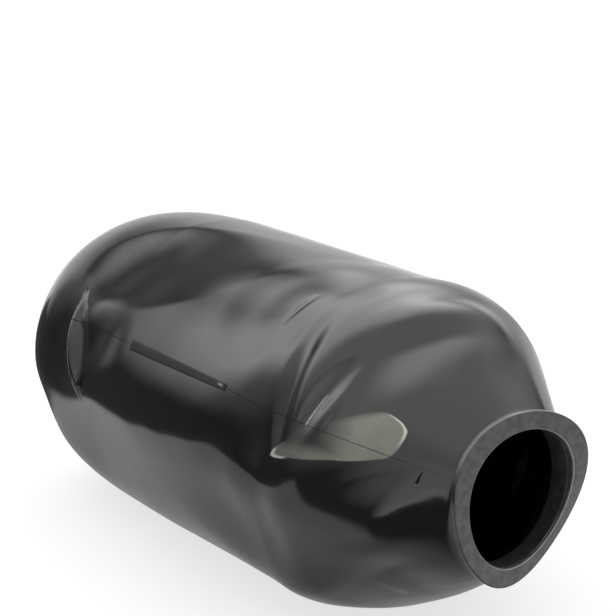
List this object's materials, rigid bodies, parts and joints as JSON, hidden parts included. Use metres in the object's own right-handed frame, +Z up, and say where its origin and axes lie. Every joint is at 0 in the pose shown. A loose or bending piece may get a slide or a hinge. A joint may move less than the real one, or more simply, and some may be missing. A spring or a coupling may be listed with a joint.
{
  "type": "pressure tank bladder",
  "caption": "Hollow rubber bladder with a domed end, a conical shoulder and a flanged round mouth; it lies slack on its side and holds the water inside a pressure tank.",
  "frame": {"origin": "centre of the straight bore wall in the neck", "axes": "+X out of the mouth along its axis, +Z up as the bladder lies on its side, +Y across it"},
  "size_m": [0.4401, 0.2206, 0.2029],
  "materials": {
    "rubber": "smooth moulded black rubber, semi-gloss"
  },
  "bodies": {
    "root": {"bladder": "rubber"}
  },
  "joints": []
}
